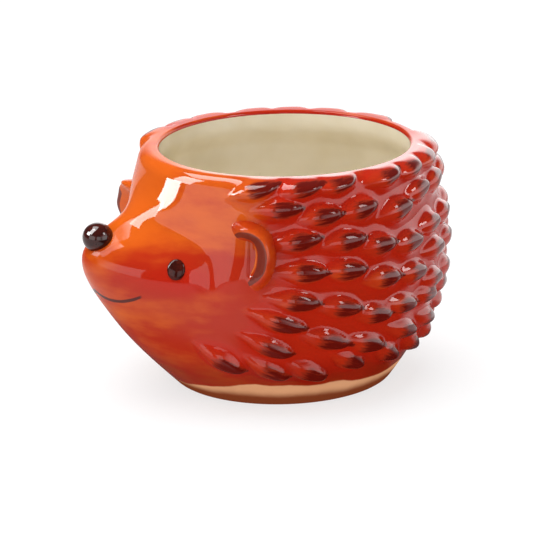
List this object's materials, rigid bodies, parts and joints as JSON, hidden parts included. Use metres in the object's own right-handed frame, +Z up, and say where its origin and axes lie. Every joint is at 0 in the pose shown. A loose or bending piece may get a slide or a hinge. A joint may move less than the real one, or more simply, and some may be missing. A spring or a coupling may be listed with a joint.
{
  "type": "animal shaped planter",
  "caption": "Glazed ceramic plant pot in the shape of a hedgehog, with a wide oval mouth, a pointed smiling face in front and rows of raised quills round the back.",
  "frame": {"origin": "middle of the whole object's box, on the table it stands on", "axes": "the animal faces -Y, its left flank is +X, +Z is up out of the mouth"},
  "size_m": [0.146, 0.1762, 0.1095],
  "materials": {
    "body_glaze": "gloss",
    "quill_glaze": "gloss",
    "dark_glaze": "gloss"
  },
  "bodies": {
    "root": {"pot_wall": "body_glaze", "ear_left": "body_glaze", "ear_right": "body_glaze", "nose": "dark_glaze", "eye_left": "dark_glaze", "eye_right": "dark_glaze", "quill_row_1": "quill_glaze", "quill_row_2": "quill_glaze", "quill_row_3": "quill_glaze", "quill_row_4": "quill_glaze", "quill_row_5": "quill_glaze", "quill_row_6": "quill_glaze", "quill_row_7": "quill_glaze", "quill_row_8": "quill_glaze", "quill_row_9": "quill_glaze"}
  },
  "joints": []
}
